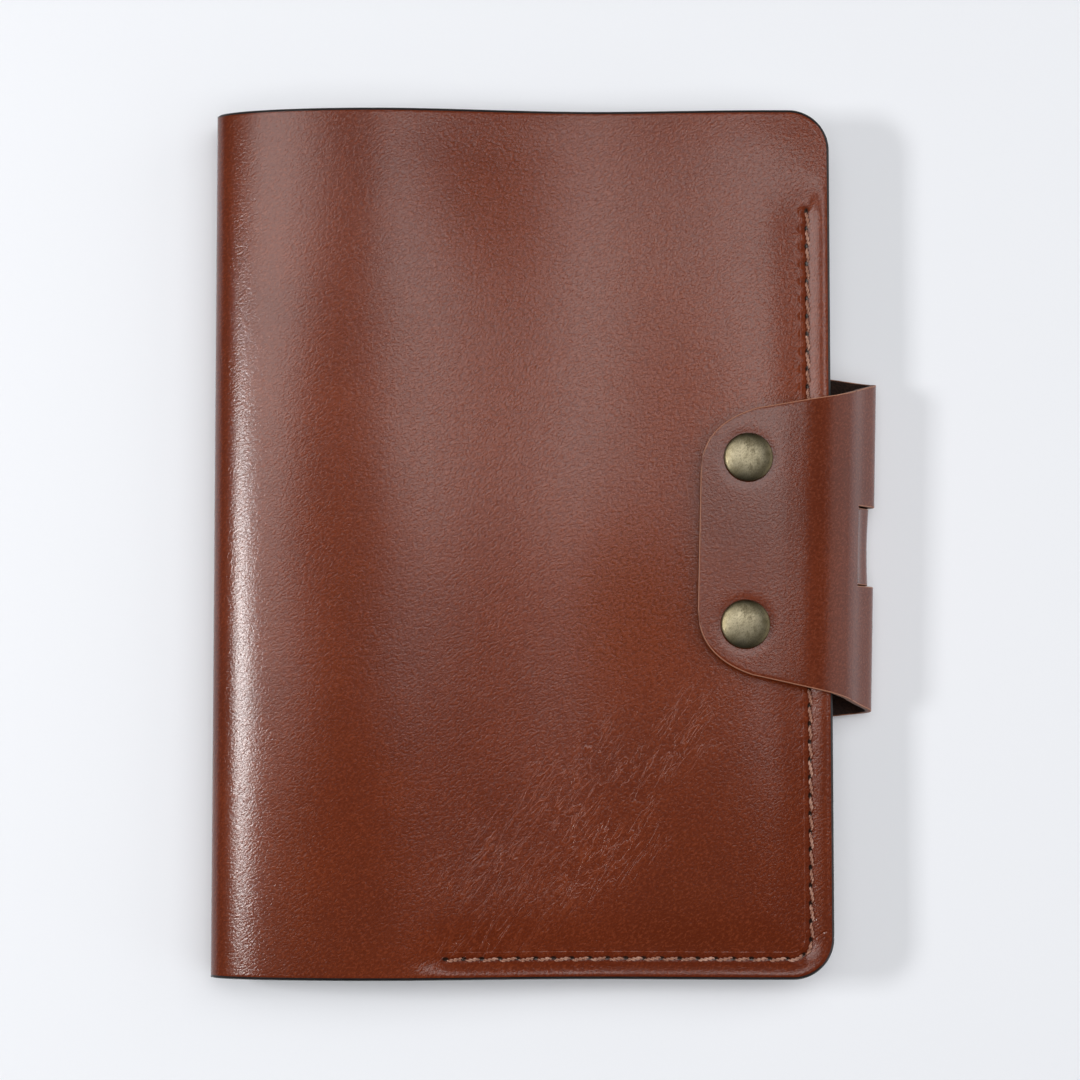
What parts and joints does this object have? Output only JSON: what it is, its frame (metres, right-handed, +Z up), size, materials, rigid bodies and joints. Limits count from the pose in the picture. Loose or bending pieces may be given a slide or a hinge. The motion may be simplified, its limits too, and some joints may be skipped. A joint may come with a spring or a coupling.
{
  "type": "notebook cover",
  "caption": "Leather notebook cover that folds round a spine, with inner pockets and a wrap-around closing tab held by press studs, forming a pen loop.",
  "frame": {"origin": "centre of the closed cover's bounding box, on the surface it lies on", "axes": "+Z up out of the front panel, +Y along the spine towards the top of the cover, +X from the spine towards the fore-edge and the tab"},
  "size_m": [0.1714, 0.222, 0.0259],
  "materials": {
    "cover_leather": "full-grain pull-up leather, deep reddish brown, semi-matt waxed",
    "pocket_leather": "thin reddish brown lining leather, matt",
    "tab_leather": "full-grain leather, darker red-brown with a worn sheen",
    "thread": "waxed twisted thread, light copper tan",
    "cap_brass": "antique brass, mottled, pale greenish gold with dark edges",
    "snap_brass": "antique brass, plain"
  },
  "bodies": {
    "back": {"back_cover_panel": "cover_leather", "back_pocket_panel": "pocket_leather", "back_seam_thread": "thread", "tab_base": "tab_leather"},
    "spine": {"spine_panel": "cover_leather"},
    "front": {"front_cover_panel": "cover_leather", "front_pocket_panel": "pocket_leather", "front_seam_thread": "thread", "upper_snap_stud": "snap_brass", "upper_snap_eyelet": "snap_brass", "lower_snap_stud": "snap_brass", "lower_snap_eyelet": "snap_brass"},
    "tab_fold": {"tab_fold": "tab_leather"},
    "tab_flap": {"tab_flap": "tab_leather", "upper_snap_cap": "cap_brass", "upper_snap_socket": "snap_brass", "lower_snap_cap": "cap_brass", "lower_snap_socket": "snap_brass"}
  },
  "joints": [
    {"name": "spine_hinge", "type": "hinge", "parent": "back", "child": "spine", "pos_m": [-0.08275, 0, 0.00265], "axis": [0, -1, 0], "range_deg": [0, 90]},
    {"name": "front_hinge", "type": "hinge", "parent": "spine", "child": "front", "pos_m": [-0.08199, 0, 0.01859], "axis": [0, -1, 0], "range_deg": [0, 90]},
    {"name": "tab_fold_hinge", "type": "hinge", "parent": "back", "child": "tab_fold", "pos_m": [0.08467, -0.00117, 0.00492], "axis": [0.0227, 0.9997, 0], "range_deg": [0, 105]},
    {"name": "tab_flap_hinge", "type": "hinge", "parent": "tab_fold", "child": "tab_flap", "pos_m": [0.07402, -0.00093, 0.02101], "axis": [0.0227, 0.9997, 0], "range_deg": [0, 50]}
  ],
  "couplings": [
    {"joint": "spine_hinge", "follows": "front_hinge", "ratio": 1}
  ]
}
